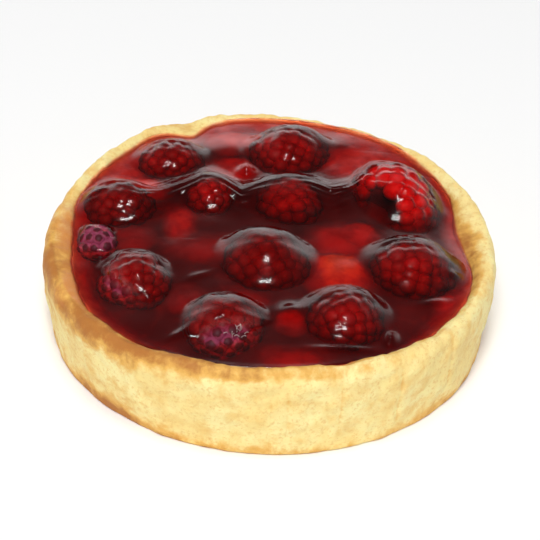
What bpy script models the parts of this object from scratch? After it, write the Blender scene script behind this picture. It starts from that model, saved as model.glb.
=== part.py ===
"""Berry tart: a shortcrust case filled with set red jelly, and whole berries half sunk in the jelly.

Units are metres and +Z is up. The origin is the middle of the tart's flat base.
The case and the jelly are turned shapes with slow waves round them, because both are hand made.
"""

import math

import bpy
from mathutils import Euler, Vector

# --- driving sizes of the case -------------------------------------------------------------
WIDEST_RADIUS = 0.0500      # outside, just under the rim
FOOT_RADIUS = 0.0488        # outside, where the wall leaves the base
FOOT_ROUND = 0.0009         # small round between the base and the wall
SHOULDER_HEIGHT = 0.0170    # where the outside starts to turn over into the rim
RIM_RADIUS = 0.0477         # the crest of the rim
RIM_HEIGHT = 0.0220
INNER_TOP_RADIUS = 0.0446   # where the rim turns down into the case
INNER_TOP_HEIGHT = 0.0176
INNER_LOW_RADIUS = 0.0432
FLOOR_THICKNESS = 0.0045
FLOOR_ROUND = 0.0030        # fillet between the floor and the inner wall

# Slow waves round the tart: how many, how large, and the angle of the first crest in degrees.
OUTLINE_WAVES = ((2, 0.00025, 45), (3, 0.00050, -15), (4, 0.00030, 25), (5, 0.00020, -36))
FOOT_WAVES = ((1, 0.00045, 97), (2, 0.00050, -58))
RIM_HEIGHT_WAVES = ((1, 0.0003, 166), (2, 0.0005, -84), (3, 0.0007, 31))

# Places where the rim stands up or sags: angle and half width in degrees, then the change.
RIM_HEIGHT_STEPS = ((129, 9, 0.0005), (115, 5, -0.0008), (197, 8, 0.0004))

# A lump of pastry that leans in over the jelly: angle, half width, and how far it leans.
LUMP_ANGLE = 118
LUMP_HALF_WIDTH = 5.5
LUMP_LEAN = 0.0034
LUMP_START = 0.6            # the lean starts at this share of the rim's height and is full at the next
LUMP_FULL = 0.9

# The side where the wall runs thicker and slopes in under the rim.
THICK_ANGLE = 8
THICK_HALF_WIDTH = 15
THICK_DEPTH = 0.0038

# --- driving sizes of the jelly ------------------------------------------------------------
TOUCHING_GAP = 0.0003       # between pieces that lie against each other
SLOPING_GAP_SHARE = 1.5     # the gap is this much wider, measured level, where the rim's inside slopes
LUMP_GAP = 0.0007           # more gap beside the lump, where the pastry bends sharply
JELLY_LEVEL = 0.0223        # in the middle
JELLY_EDGE_DROP = 0.0015    # lower near the case than in the middle
JELLY_DROP_POWER = 3        # how late the drop, the dip and the rim's own rise set in towards the case
JELLY_DIP_POWER = 6
JELLY_RISE_POWER = 4
JELLY_WALL_SHARES = (0.35, 0.7, 1.0)                # rows up the sloping top of the wall
JELLY_TOP_SHARES = (0.93, 0.70)                     # rows from the wall to the middle
JELLY_DIP_ANGLE = 12        # the side where the jelly has settled below the rim
JELLY_DIP_HALF_WIDTH = 26
JELLY_DIP_DEPTH = 0.0022

# --- driving sizes of the berries ----------------------------------------------------------
# Each berry: name, where it lies (x, y), height of its top, its half length, half width and
# half height, then how far it is turned about the vertical and how far its tip dips, in degrees.
BERRIES = (
    ("raspberry_back_left", -0.0240, 0.0268, 0.0247, 0.0085, 0.0070, 0.0070, 12, 6),
    ("raspberry_back", 0.0033, 0.0324, 0.0260, 0.0102, 0.0090, 0.0086, 20, 8),
    ("raspberry_left", -0.0341, 0.0083, 0.0253, 0.0086, 0.0071, 0.0078, 15, 5),
    ("raspberry_left_small", -0.0378, -0.0050, 0.0246, 0.0058, 0.0047, 0.0056, 118, 0),
    ("berry_middle_left", -0.0140, 0.0132, 0.0250, 0.0066, 0.0060, 0.0064, 70, 0),
    ("raspberry_middle", 0.0036, 0.0134, 0.0250, 0.0086, 0.0084, 0.0080, 80, -6),
    ("raspberry_right_back", 0.0276, 0.0164, 0.0270, 0.0124, 0.0095, 0.0092, -68, 4),
    ("raspberry_right", 0.0308, -0.0088, 0.0252, 0.0099, 0.0092, 0.0086, 40, 6),
    ("raspberry_centre", -0.0010, -0.0100, 0.0262, 0.0108, 0.0098, 0.0090, -25, 4),
    ("raspberry_front_left", -0.0287, -0.0180, 0.0252, 0.0092, 0.0079, 0.0080, -50, 8),
    ("raspberry_front", -0.0086, -0.0326, 0.0258, 0.0095, 0.0091, 0.0084, 10, 4),
    ("raspberry_front_right", 0.0164, -0.0275, 0.0252, 0.0090, 0.0086, 0.0080, 60, 5),
)
BERRY_TAPER = 0.12          # the hull end is this much fuller than the tip
DRUPELET_RELIEF = 0.00035   # how far the drupelets stand above the gaps between them

# --- how finely the solids are cut ---------------------------------------------------------
ROUND_STEPS = 72            # round the tart
BERRY_ROWS = 8              # along a berry, from end to end
BERRY_COLUMNS = 14          # round a berry; even, so that the drupelets alternate

TURN = 2 * math.pi


def remove_everything():
    """Start from an empty scene."""
    for thing in list(bpy.data.objects):
        bpy.data.objects.remove(thing, do_unlink=True)


def make_material(name, colour, roughness):
    """A plain Principled material."""
    material = bpy.data.materials.new(name)
    material.use_nodes = True
    shader = material.node_tree.nodes["Principled BSDF"]
    shader.inputs["Base Color"].default_value = (*colour, 1.0)
    shader.inputs["Roughness"].default_value = roughness
    shader.inputs["Metallic"].default_value = 0.0
    material.diffuse_color = (*colour, 1.0)
    return material


def add_object(name, points, faces, material):
    """A smooth shaded object from points and faces."""
    mesh = bpy.data.meshes.new(name)
    mesh.from_pydata(points, [], faces)
    mesh.materials.append(material)
    mesh.shade_smooth()
    thing = bpy.data.objects.new(name, mesh)
    bpy.context.scene.collection.objects.link(thing)
    return thing


def waves(angle, table):
    """The sum of the slow waves in a table, at an angle."""
    return sum(size * math.cos(count * (angle - math.radians(crest))) for count, size, crest in table)


def bump(angle, centre, half_width):
    """A smooth bump round an angle: 1 in its middle, fading over its half width. Degrees in the table."""
    away = math.remainder(angle - math.radians(centre), TURN) / math.radians(half_width)
    return math.exp(-away * away)


def outline_shift(angle):
    """How far the outside stands out or in at an angle."""
    return waves(angle, OUTLINE_WAVES)


def foot_shift(angle):
    """How much further the foot stands out or in than the rim does."""
    return waves(angle, FOOT_WAVES)


def height_scale(angle):
    """How much taller or lower than usual the case is at an angle."""
    steps = sum(rise * bump(angle, centre, width) for centre, width, rise in RIM_HEIGHT_STEPS)
    return 1 + (waves(angle, RIM_HEIGHT_WAVES) + steps) / RIM_HEIGHT


def quarter(start, end, steps, ends_level):
    """Points of a quarter ellipse from start to end, both (radius, height), without the start.

    ends_level says that the curve runs level at its end, as at the crest of the rim.
    """
    points = []
    for step in range(1, steps + 1):
        angle = step / steps * math.pi / 2
        along, across = math.sin(angle), 1 - math.cos(angle)
        if ends_level:
            along, across = across, along
        points.append((start[0] + (end[0] - start[0]) * along, start[1] + (end[1] - start[1]) * across))
    return points


def outside_profile():
    """The outside of the case from the edge of its base up to the crest: (radius, height, foot share)."""
    foot_start = (FOOT_RADIUS - FOOT_ROUND, 0.0)
    foot_end = (FOOT_RADIUS, FOOT_ROUND)
    points = [(*foot_start, 1.0)]
    points += [(r, z, 1.0) for r, z in quarter(foot_start, foot_end, 3, False)]
    for share in (0.35, 0.7, 1.0):
        belly = math.sin(share * math.pi / 2)
        radius = FOOT_RADIUS + (WIDEST_RADIUS - FOOT_RADIUS) * belly
        height = FOOT_ROUND + (SHOULDER_HEIGHT - FOOT_ROUND) * share
        points.append((radius, height, 1 - share))
    shoulder = (WIDEST_RADIUS, SHOULDER_HEIGHT)
    points += [(r, z, 0.0) for r, z in quarter(shoulder, (RIM_RADIUS, RIM_HEIGHT), 4, True)]
    return points


def inside_profile():
    """The inside of the case from just past the crest down to the floor: (radius, height)."""
    crest = (RIM_RADIUS, RIM_HEIGHT)
    low = (INNER_LOW_RADIUS, FLOOR_THICKNESS + FLOOR_ROUND)
    floor_edge = (INNER_LOW_RADIUS - FLOOR_ROUND, FLOOR_THICKNESS)
    points = quarter(crest, (INNER_TOP_RADIUS, INNER_TOP_HEIGHT), 5, False)
    middle_height = (INNER_TOP_HEIGHT + low[1]) / 2
    middle_radius = (INNER_TOP_RADIUS + low[0]) / 2
    points += [(middle_radius, middle_height), low]
    points += quarter(low, floor_edge, 2, True)
    return points


def inward_lean(angle, height):
    """How far the inside of the wall leans in at an angle and a height: the lump, and the thick side."""
    rise = (height / RIM_HEIGHT - LUMP_START) / (LUMP_FULL - LUMP_START)
    lump = LUMP_LEAN * min(1.0, max(0.0, rise)) * bump(angle, LUMP_ANGLE, LUMP_HALF_WIDTH)
    below_crest = (RIM_HEIGHT - height) / (RIM_HEIGHT - INNER_TOP_HEIGHT)
    thick = THICK_DEPTH * min(1.0, max(0.0, below_crest)) * bump(angle, THICK_ANGLE, THICK_HALF_WIDTH)
    return lump + thick


def case_point(angle, radius, height, foot_share=0.0, inside=False):
    """A point of the case, waves and all, before the tart is centred."""
    radius += outline_shift(angle) + foot_share * foot_shift(angle)
    if inside:
        radius -= inward_lean(angle, height)
        lift = min(1.0, max(0.0, height / FLOOR_THICKNESS - 1))
    else:
        lift = 1.0
    height *= 1 + (height_scale(angle) - 1) * lift
    return Vector((radius * math.cos(angle), radius * math.sin(angle), height))


def round_angles():
    """The angles of the points round the tart."""
    return [TURN * step / ROUND_STEPS for step in range(ROUND_STEPS)]


def case_centre():
    """The middle of the outside's box in X and Y, which the whole tart is moved to the origin by."""
    points = [case_point(angle, *level) for level in outside_profile() for angle in round_angles()]
    middle_x = (max(p.x for p in points) + min(p.x for p in points)) / 2
    middle_y = (max(p.y for p in points) + min(p.y for p in points)) / 2
    return Vector((middle_x, middle_y, 0.0))


def close_rings(rings, bottom, top):
    """Points and faces of a closed turned body: rings of points, joined, with a middle point at each end."""
    points = [point for ring in rings for point in ring] + [bottom, top]
    count = len(rings[0])
    faces = []
    for level in range(len(rings) - 1):
        for step in range(count):
            following = (step + 1) % count
            low, high = level * count, (level + 1) * count
            faces.append((low + step, low + following, high + following, high + step))
    last = (len(rings) - 1) * count
    for step in range(count):
        following = (step + 1) % count
        faces.append((following, step, len(points) - 2))
        faces.append((last + step, last + following, len(points) - 1))
    return points, faces


def make_case(shift):
    """The shortcrust case: a shallow cup with a rounded, uneven rim."""
    angles = round_angles()
    rings = [[case_point(a, r, z, share) - shift for a in angles] for r, z, share in outside_profile()]
    rings += [[case_point(a, r, z, inside=True) - shift for a in angles] for r, z in inside_profile()]
    floor_middle = Vector((0.0, 0.0, FLOOR_THICKNESS))
    points, faces = close_rings(rings, Vector((0.0, 0.0, 0.0)), floor_middle)
    return add_object("crust", points, faces, make_material("baked_shortcrust", (0.86, 0.62, 0.27), 0.75))


def jelly_level(angle, share):
    """Height of the jelly at an angle and a share of the way from the middle to the case."""
    dip = JELLY_DIP_DEPTH * bump(angle, JELLY_DIP_ANGLE, JELLY_DIP_HALF_WIDTH) * share ** JELLY_DIP_POWER
    rim_change = (height_scale(angle) - 1) * RIM_HEIGHT * share ** JELLY_RISE_POWER
    return JELLY_LEVEL - JELLY_EDGE_DROP * share ** JELLY_DROP_POWER - dip + rim_change


def inner_radius(height):
    """Radius of the inside of the case at a height, read from its profile."""
    profile = inside_profile()
    for (outer, above), (inner, below) in zip(profile, profile[1:]):
        if below <= height <= above:
            share = (height - below) / (above - below)
            return inner + (outer - inner) * share
    return profile[0][0]


def pastry_gap(angle):
    """The gap between the jelly and the inside of the case, measured level."""
    return TOUCHING_GAP + LUMP_GAP * bump(angle, LUMP_ANGLE, 2 * LUMP_HALF_WIDTH)


def make_jelly(shift):
    """The jelly: it fills the case up to its level, clear of the pastry by the touching gap."""
    angles = round_angles()
    bottom = FLOOR_THICKNESS + TOUCHING_GAP
    rings = []
    for radius, height in reversed(inside_profile()):
        if height > INNER_TOP_HEIGHT:
            break
        ring = [case_point(a, radius - pastry_gap(a), height, inside=True) - shift for a in angles]
        rings.append(ring)
    for point in rings[0]:
        point.z = bottom
    for share in JELLY_WALL_SHARES:
        ring = []
        for angle in angles:
            top = jelly_level(angle, 1.0) / height_scale(angle)
            height = INNER_TOP_HEIGHT + (top - INNER_TOP_HEIGHT) * share
            radius = inner_radius(height) - pastry_gap(angle) * SLOPING_GAP_SHARE
            ring.append(case_point(angle, radius, height, inside=True) - shift)
        rings.append(ring)
    edge = rings[-1]
    for share in JELLY_TOP_SHARES:
        ring = []
        for angle, point in zip(angles, edge):
            ring.append(Vector((point.x * share, point.y * share, jelly_level(angle, share))))
        rings.append(ring)
    top = Vector((0.0, 0.0, JELLY_LEVEL))
    points, faces = close_rings(rings, Vector((0.0, 0.0, bottom)), top)
    return add_object("jelly", points, faces, make_material("red_jelly", (0.33, 0.01, 0.02), 0.08))


def berry_shape(half_length, half_width, half_height, relief, clearance):
    """Points and faces of a berry that lies along X: staggered drupelets on a tapered egg.

    clearance makes it larger all round; a pocket has no relief of its own.
    """
    rings = []
    for row in range(1, BERRY_ROWS):
        along = math.pi * row / BERRY_ROWS
        fullness = 1 + BERRY_TAPER * math.cos(along)
        ring = []
        for column in range(BERRY_COLUMNS):
            angle = TURN * (column + 0.5 * (row % 2)) / BERRY_COLUMNS
            swell = clearance + (relief if column % 2 == 0 else 0.0)
            ring.append(Vector((
                -(half_length + swell) * math.cos(along),
                (half_width + swell) * math.sin(along) * fullness * math.cos(angle),
                (half_height + swell) * math.sin(along) * fullness * math.sin(angle))))
        rings.append(ring)
    hull_end = Vector((-(half_length + clearance), 0.0, 0.0))
    tip = Vector((half_length + clearance, 0.0, 0.0))
    return close_rings(rings, hull_end, tip)


def place_berry(thing, x, y, top, half_height, turn, dip):
    """Lay a berry in the jelly, turned about the vertical and with its tip dipped."""
    thing.location = (x, y, top - half_height)
    thing.rotation_euler = Euler((0.0, math.radians(dip), math.radians(turn)))


def make_berry(row, material):
    """A berry, whose drupelets reach its stated sizes."""
    name, x, y, top, half_length, half_width, half_height, turn, dip = row
    body = [size - DRUPELET_RELIEF for size in (half_length, half_width, half_height)]
    points, faces = berry_shape(*body, DRUPELET_RELIEF, 0.0)
    berry = add_object(name, points, faces, material)
    place_berry(berry, x, y, top, half_height, turn, dip)
    return berry


def cut_pocket(jelly, row, material):
    """Cut the jelly clear of a berry by the touching gap."""
    name, x, y, top, half_length, half_width, half_height, turn, dip = row
    points, faces = berry_shape(half_length, half_width, half_height, 0.0, TOUCHING_GAP)
    cutter = add_object(f"{name}_pocket", points, faces, material)
    place_berry(cutter, x, y, top, half_height, turn, dip)
    cutter.hide_render = True
    cutter.display_type = "WIRE"
    pocket = jelly.modifiers.new(f"{name}_pocket", "BOOLEAN")
    pocket.operation = "DIFFERENCE"
    pocket.solver = "EXACT"
    pocket.object = cutter


def build():
    """The whole tart."""
    remove_everything()
    shift = case_centre()
    make_case(shift)
    jelly = make_jelly(shift)
    raspberry_red = make_material("raspberry", (0.42, 0.02, 0.05), 0.35)
    dark_red = make_material("dark_berry", (0.25, 0.01, 0.02), 0.25)
    for row in BERRIES:
        material = raspberry_red if row[0].startswith("raspberry") else dark_red
        make_berry(row, material)
        cut_pocket(jelly, row, material)


build()
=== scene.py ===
"""The looks of the berry tart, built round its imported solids. Units are metres and +Z is up."""

import math

import bmesh
import bpy
import numpy as np
from mathutils import Euler, Matrix, Vector, noise


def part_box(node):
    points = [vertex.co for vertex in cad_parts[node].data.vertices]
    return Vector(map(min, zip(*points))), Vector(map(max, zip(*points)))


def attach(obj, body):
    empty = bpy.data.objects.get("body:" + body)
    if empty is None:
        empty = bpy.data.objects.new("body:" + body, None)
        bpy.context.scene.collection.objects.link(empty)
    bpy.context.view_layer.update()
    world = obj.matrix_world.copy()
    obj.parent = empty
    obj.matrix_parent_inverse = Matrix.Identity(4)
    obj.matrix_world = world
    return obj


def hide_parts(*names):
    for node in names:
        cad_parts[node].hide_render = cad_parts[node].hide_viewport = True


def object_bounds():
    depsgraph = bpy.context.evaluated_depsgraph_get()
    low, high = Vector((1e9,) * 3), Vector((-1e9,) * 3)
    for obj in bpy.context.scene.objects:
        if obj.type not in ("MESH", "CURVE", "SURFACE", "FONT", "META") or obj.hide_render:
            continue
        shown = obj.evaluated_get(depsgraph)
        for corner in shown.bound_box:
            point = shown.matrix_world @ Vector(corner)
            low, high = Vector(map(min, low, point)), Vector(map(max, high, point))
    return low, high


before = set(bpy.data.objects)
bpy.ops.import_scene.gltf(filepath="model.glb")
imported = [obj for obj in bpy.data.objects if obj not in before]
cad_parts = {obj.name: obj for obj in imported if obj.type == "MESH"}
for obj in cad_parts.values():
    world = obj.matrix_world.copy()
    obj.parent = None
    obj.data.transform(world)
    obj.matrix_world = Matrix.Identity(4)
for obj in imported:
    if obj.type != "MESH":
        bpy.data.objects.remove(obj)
cad_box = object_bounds()

TURN = 2 * math.pi
MM = 0.001

# --- the case, as the solids have it ---------------------------------------------------------
WIDEST_RADIUS = 50.0 * MM
FOOT_RADIUS = 48.8 * MM
FOOT_ROUND = 0.9 * MM
SHOULDER_HEIGHT = 17.0 * MM
RIM_RADIUS = 47.7 * MM
RIM_HEIGHT = 22.0 * MM
INNER_TOP_RADIUS = 44.6 * MM
INNER_TOP_HEIGHT = 17.6 * MM
INNER_LOW_RADIUS = 43.2 * MM
FLOOR_THICKNESS = 4.5 * MM
FLOOR_ROUND = 3.0 * MM
OUTLINE_WAVES = ((2, 0.25, 45), (3, 0.50, -15), (4, 0.30, 25), (5, 0.20, -36))
FOOT_WAVES = ((1, 0.45, 97), (2, 0.50, -58))
RIM_HEIGHT_WAVES = ((1, 0.3, 166), (2, 0.5, -84), (3, 0.7, 31))
RIM_HEIGHT_STEPS = ((129, 9, 0.5), (115, 5, -0.8), (197, 8, 0.4))
LUMP_ANGLE = 118
LUMP_HALF_WIDTH = 5.5
LUMP_LEAN = 3.4 * MM
LUMP_START = 0.6
LUMP_FULL = 0.9
THICK_ANGLE = 8
THICK_HALF_WIDTH = 15
THICK_DEPTH = 3.8 * MM

# The ledge that the pastry makes at the left, just under its crest. Only the looks have it.
LEDGE_ANGLE = 190
LEDGE_HALF_WIDTH = 17
LEDGE_DEPTH = 2.2 * MM
LEDGE_FOOT = 16.0 * MM
LEDGE_TOP = 20.0 * MM
LEDGE_CREST = 21.1 * MM

# --- the jelly's level, as the solids have it --------------------------------------------------
JELLY_LEVEL = 22.3 * MM
JELLY_EDGE_DROP = 1.5 * MM
JELLY_DIP_ANGLE = 12
JELLY_DIP_HALF_WIDTH = 26
JELLY_DIP_DEPTH = 2.2 * MM

CREASES = (-88, -84, -71, -55, -38)     # upright creases in the wall: angles in degrees

# --- how fine the meshes are -------------------------------------------------------------------
CASE_STEPS = 720
CASE_SPACING = 0.42 * MM
JELLY_STEPS = 600
JELLY_RINGS = 118

# --- the berries: node, turn and dip in degrees, drupelet size, depth of the glaze over them, how far
# --- the drupelets show in the glaze in front and behind, the reach of the glaze's hump, brightness ---
BERRIES = (
    ("raspberry_back_left", 12, 6, 2.1, 0.50, 0.30, 1.30, 1.25, 0.25),
    ("raspberry_back", 20, 8, 2.3, 0.60, 0.25, 1.10, 1.25, 0.25),
    ("raspberry_left", 15, 5, 2.1, 0.50, 0.20, 1.30, 1.30, 0.10),
    ("raspberry_left_small", 118, 0, 1.9, -0.70, 0.00, 0.00, 1.00, 0.20),
    ("berry_middle_left", 70, 0, 2.0, 0.50, 0.40, 0.80, 1.35, 0.35),
    ("raspberry_middle", 80, -6, 2.4, 0.60, 0.10, 0.70, 1.45, 0.40),
    ("raspberry_right_back", -68, 4, 2.7, 0.45, 0.90, 1.20, 1.18, 1.10),
    ("raspberry_right", 40, 6, 2.4, 0.50, 0.15, 0.90, 1.40, 0.30),
    ("raspberry_centre", -25, 4, 2.4, 0.90, 0.00, 0.10, 1.20, 0.15),
    ("raspberry_front_left", -50, 8, 2.1, 0.40, 0.60, 0.80, 1.15, 0.20),
    ("raspberry_front", 10, 4, 2.2, 0.60, 0.00, 0.10, 1.15, 0.15),
    ("raspberry_front_right", 60, 5, 2.3, 0.50, 0.30, 0.60, 1.30, 0.25),
)
BERRY_TAPER = 0.12
DRUPELET_FILL = 0.83        # a drupelet's radius against the spacing of the drupelets
RELIEF_SOFTNESS = 0.25 * MM     # how far glaze rounds off the gaps between drupelets
RELIEF_DEEPEST = 0.6 * MM
RELIEF_HIGHEST = 0.05 * MM
HUMP_POWER = 3.0            # how smoothly two humps of glaze run together
HUMP_SOFT_POWER = 2.0       # how softly a hump runs out in front, and how steeply it falls behind
HUMP_STEEP_POWER = 0.6
HUMP_BACK_REACH = 1.06

# Where a berry shows bare: its node, the direction of the bare side in degrees and how far it reaches.
BARE_SIDES = {
    "raspberry_left_small": (-90, 2.0),
    "raspberry_front_left": (228, 0.55),
    "raspberry_front": (-72, 0.34),
}
BARE_DROP = 4.6             # how far the glaze drops where a berry is bare
SHADE_START = 2.2 * MM       # painted shade: berries start to be painted darker this far above the jelly's level
SHADE_END = 3.0 * MM         # and are painted dark this far below it

# The hairs on the front berry.
HAIRY_BERRY = "raspberry_front"
HAIR_PLACE = np.array((-4.2, -37.4))    # in millimetres
HAIR_SPREAD = 1.5
HAIR_COUNT = 34
HAIR_LENGTH = 1.7 * MM
HAIR_THICKNESS = 0.07 * MM

# The hull's hollow in a berry that lies on its side: the way it faces, half its opening in degrees,
# and how deep it goes as a share of the berry's radius.
HOLLOWS = {"raspberry_right_back": ((-5.5, -5.5, 3.2), 50, 0.8)}

# --- the top of the jelly: a long crest, and swells (place, half sizes, turn, height), millimetres -----
BACK_CLIMB = 0.4            # how much further the jelly climbs the case at the back
BACK_RISE = 0.9 * MM        # and how much higher it lies at the back right
CREST = ((-46, 8), (-41, 9.5), (-36, 10.5), (-30, 8.5), (-25, 10.5), (-21, 13.5), (-16, 16.5), (-11, 14.5),
         (-7, 12), (-3, 13.5), (3, 15.5), (8, 15.5), (13, 13.5), (17, 15.5), (21, 19.5), (25, 26))
CREST_HEIGHT = 1.9
CREST_WIDTHS = (4.8, 4.8)    # of its front and its back slope
CREST_STREAK = (6.0, 1.2)   # length and width of the streaks along it
CREST_STREAKS = 0.34
SWELLS = (
    (-6.5, 22.4, 1.8, 1.8, 0, 1.6),
    (-7.5, 27.0, 1.3, 3.4, 10, 0.6),
    (5.0, -28.0, 2.8, 2.4, 0, 0.9),
    (25.8, -34.5, 1.3, 1.8, 0, 1.7),
    (-11.0, 31.0, 6.0, 5.0, 0, 0.9),
    (11.0, 35.5, 4.5, 3.0, 0, 0.7),
    (-15.0, -17.0, 3.0, 1.0, 30, 0.22),
    (-17.5, -36.0, 2.6, 1.0, 35, 0.45),
    (17.0, -38.5, 7.0, 1.0, 4, 0.5),
    (35.5, -20.5, 3.4, 1.0, 24, 0.5),
    (40.0, -11.5, 2.2, 1.2, 15, 0.7),
    (-38.5, -10.0, 4.0, 0.9, -48, 0.5),
    (7.5, 5.5, 3.0, 1.6, 20, 0.4),
)


# ================================ shared shapes =================================================

def waves(angle, table):
    """The sum of a table's slow waves, in metres."""
    return MM * sum(size * np.cos(count * (angle - math.radians(crest))) for count, size, crest in table)


def bump(angle, centre, half_width):
    """1 at an angle in degrees, fading smoothly round it."""
    away = np.angle(np.exp(1j * (angle - math.radians(centre)))) / math.radians(half_width)
    return np.exp(-away * away)


def height_scale(angle):
    """How much taller or lower than usual the case is at an angle."""
    steps = sum(MM * rise * bump(angle, centre, width) for centre, width, rise in RIM_HEIGHT_STEPS)
    return 1 + (waves(angle, RIM_HEIGHT_WAVES) + steps) / RIM_HEIGHT


def smooth_step(low, high, value):
    """0 below low, 1 above high, smooth between."""
    share = np.clip((value - low) / (high - low), 0, 1)
    return share * share * (3 - 2 * share)


def lumps(points, size, seed):
    """Smooth noise from -1 to 1 at points, with lumps of a size."""
    shift = Vector((seed * 3.7, seed * 1.3, seed * 5.1))
    return np.array([noise.noise(Vector(point) / size + shift) for point in points])


def quarter(start, end, steps, ends_level):
    """Points of a quarter ellipse from start to end, without the start."""
    angle = np.arange(1, steps + 1) / steps * math.pi / 2
    along, across = np.sin(angle), 1 - np.cos(angle)
    if ends_level:
        along, across = across, along
    radius = start[0] + (end[0] - start[0]) * along
    return list(zip(radius, start[1] + (end[1] - start[1]) * across))


def outside_profile():
    """The outside of the case from the edge of its base to its crest: (radius, height)."""
    foot_start = (FOOT_RADIUS - FOOT_ROUND, 0.0)
    foot_end = (FOOT_RADIUS, FOOT_ROUND)
    points = [foot_start] + quarter(foot_start, foot_end, 5, False)
    for share in np.linspace(0.05, 1, 20):
        radius = FOOT_RADIUS + (WIDEST_RADIUS - FOOT_RADIUS) * math.sin(share * math.pi / 2)
        points.append((radius, FOOT_ROUND + (SHOULDER_HEIGHT - FOOT_ROUND) * share))
    return points + quarter((WIDEST_RADIUS, SHOULDER_HEIGHT), (RIM_RADIUS, RIM_HEIGHT), 16, True)


def inside_profile():
    """The inside of the case from its crest to its floor: (radius, height)."""
    low = (INNER_LOW_RADIUS, FLOOR_THICKNESS + FLOOR_ROUND)
    floor_edge = (INNER_LOW_RADIUS - FLOOR_ROUND, FLOOR_THICKNESS)
    points = quarter((RIM_RADIUS, RIM_HEIGHT), (INNER_TOP_RADIUS, INNER_TOP_HEIGHT), 16, False)
    return points + [low] + quarter(low, floor_edge, 4, True)


def evenly(points, spacing):
    """A line of points, stepped again at an even spacing."""
    points = np.array(points)
    lengths = np.hypot(*np.diff(points, axis=0).T)
    places = np.concatenate([[0], np.cumsum(lengths)])
    steps = max(2, round(places[-1] / spacing) + 1)
    wanted = np.linspace(0, places[-1], steps)
    return np.stack([np.interp(wanted, places, points[:, side]) for side in (0, 1)], axis=1)


def case_point(angle, radius, height, inside):
    """Points of the case at angles, as the solids have it. Returns radius and height."""
    shift = waves(angle, OUTLINE_WAVES)
    if inside:
        rise = np.clip((height / RIM_HEIGHT - LUMP_START) / (LUMP_FULL - LUMP_START), 0, 1)
        shift = shift - LUMP_LEAN * rise * bump(angle, LUMP_ANGLE, LUMP_HALF_WIDTH)
        below_crest = np.clip((RIM_HEIGHT - height) / (RIM_HEIGHT - INNER_TOP_HEIGHT), 0, 1)
        shift = shift - THICK_DEPTH * below_crest * bump(angle, THICK_ANGLE, THICK_HALF_WIDTH)
        ledge = smooth_step(LEDGE_FOOT, LEDGE_TOP, height) * smooth_step(RIM_HEIGHT, LEDGE_CREST, height)
        shift = shift - LEDGE_DEPTH * ledge * bump(angle, LEDGE_ANGLE, LEDGE_HALF_WIDTH)
        lift = np.clip(height / FLOOR_THICKNESS - 1, 0, 1)
    else:
        foot_share = np.clip(1 - (height - FOOT_ROUND) / (SHOULDER_HEIGHT - FOOT_ROUND), 0, 1)
        shift = shift + foot_share * waves(angle, FOOT_WAVES)
        lift = 1.0
    return radius + shift, height * (1 + (height_scale(angle) - 1) * lift)


def case_centre():
    """The middle of the case's outline, which lies at the origin."""
    angle = np.linspace(0, TURN, CASE_STEPS, endpoint=False)
    radius, _ = case_point(angle, WIDEST_RADIUS, SHOULDER_HEIGHT, False)
    x, y = radius * np.cos(angle), radius * np.sin(angle)
    return np.array([(x.max() + x.min()) / 2, (y.max() + y.min()) / 2, 0.0])


def inner_radius(height):
    """Radius of the inside of the case at a height."""
    profile = np.array(inside_profile())[::-1]
    return np.interp(height, profile[:, 1], profile[:, 0])


def jelly_level(angle, share):
    """Height of the jelly at an angle and a share of the way from the middle to the case."""
    dip = JELLY_DIP_DEPTH * bump(angle, JELLY_DIP_ANGLE, JELLY_DIP_HALF_WIDTH) * share ** 6
    rim_change = (height_scale(angle) - 1) * RIM_HEIGHT * share ** 4
    return JELLY_LEVEL - JELLY_EDGE_DROP * share ** 3 - dip + rim_change


def wetted_level(angle, share):
    """Height of the jelly with its further rise at the back right."""
    return jelly_level(angle, share) + BACK_RISE * bump(angle, 60, 34) * share ** 3


def higher(first, second, softness):
    """The higher of two heights, with a soft hollow where they meet."""
    near = np.clip(softness - np.abs(first - second), 0, None) / softness
    return np.maximum(first, second) + near * near * softness / 4


# ================================ meshes ========================================================

def add_piece(name, points, faces, material):
    """A smooth shaded mesh object at the origin."""
    mesh = bpy.data.meshes.new(name)
    mesh.from_pydata([tuple(point) for point in points], [], faces)
    mesh.materials.append(material)
    mesh.shade_smooth()
    piece = bpy.data.objects.new(name, mesh)
    bpy.context.scene.collection.objects.link(piece)
    return piece


def ring_faces(rings, count, closed_below, closed_above):
    """Faces between rings of points, and fans to one more point at either end."""
    faces = []
    for level in range(rings - 1):
        low, high = level * count, (level + 1) * count
        faces += [(low + step, low + (step + 1) % count, high + (step + 1) % count, high + step)
                  for step in range(count)]
    end = rings * count
    if closed_below:
        faces += [((step + 1) % count, step, end) for step in range(count)]
        end += 1
    if closed_above:
        last = (rings - 1) * count
        faces += [(last + step, last + (step + 1) % count, end) for step in range(count)]
    return faces


def give_numbers(piece, name, values):
    """Store a number for each point of a piece, for its material."""
    layer = piece.data.attributes.new(name, "FLOAT", "POINT")
    layer.data.foreach_set("value", np.asarray(values, dtype=np.float32))


def give_colours(piece, name, values):
    """Store a colour for each point of a piece, for its material."""
    layer = piece.data.color_attributes.new(name, "FLOAT_COLOR", "POINT")
    with_alpha = np.concatenate([values, np.ones((len(values), 1))], axis=1)
    layer.data.foreach_set("color", with_alpha.astype(np.float32).ravel())


# ================================ node trees =====================================================

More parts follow.
